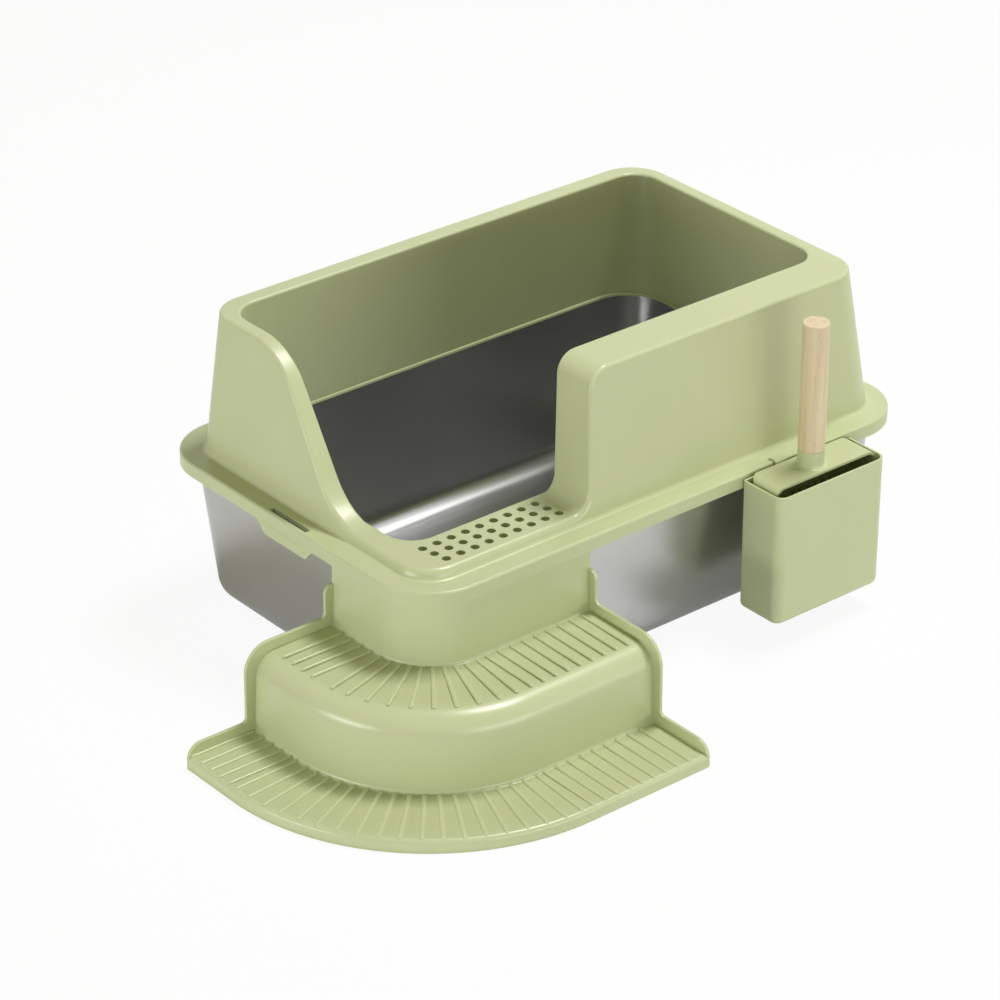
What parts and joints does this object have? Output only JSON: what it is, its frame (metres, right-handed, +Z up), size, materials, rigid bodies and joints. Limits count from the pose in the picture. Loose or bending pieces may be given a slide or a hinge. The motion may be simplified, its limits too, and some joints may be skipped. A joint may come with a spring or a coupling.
{
  "type": "litter box",
  "caption": "Open litter box: a drawn steel pan under a green plastic enclosure with a low perforated entrance, a ribbed corner stair, and a scoop standing in a hook-on holder.",
  "frame": {"origin": "on the floor, at the middle of the enclosure's footprint, which is the middle of the steel pan's base", "axes": "+X along the box to the right, +Y to the back, +Z up; the entrance and the stair are at -X, -Y"},
  "size_m": [0.7745, 0.5695, 0.3156],
  "materials": {
    "steel": "satin stainless steel",
    "green_plastic": "matte pale sage polypropylene",
    "beech": "plain smooth pale wood",
    "zinc": "zinc plated steel"
  },
  "bodies": {
    "pan": {"litter_pan": "steel"},
    "enclosure": {"enclosure": "green_plastic"},
    "stair": {"corner_stair": "green_plastic"},
    "holder": {"scoop_holder": "green_plastic"},
    "scoop": {"scoop_head": "green_plastic", "scoop_handle": "beech", "handle_screw": "zinc"}
  },
  "joints": [
    {"name": "enclosure_lift", "type": "slide", "parent": "pan", "child": "enclosure", "axis": [0, 0, 1], "range_m": [0, 0.16]},
    {"name": "stair_slide", "type": "slide", "parent": "pan", "child": "stair", "axis": [-0.7071, -0.7071, 0], "range_m": [0, 0.15]},
    {"name": "holder_lift", "type": "slide", "parent": "enclosure", "child": "holder", "axis": [0, 0, 1], "range_m": [0, 0.06]},
    {"name": "scoop_lift", "type": "slide", "parent": "holder", "child": "scoop", "axis": [0, 0, 1], "range_m": [0, 0.14]}
  ]
}
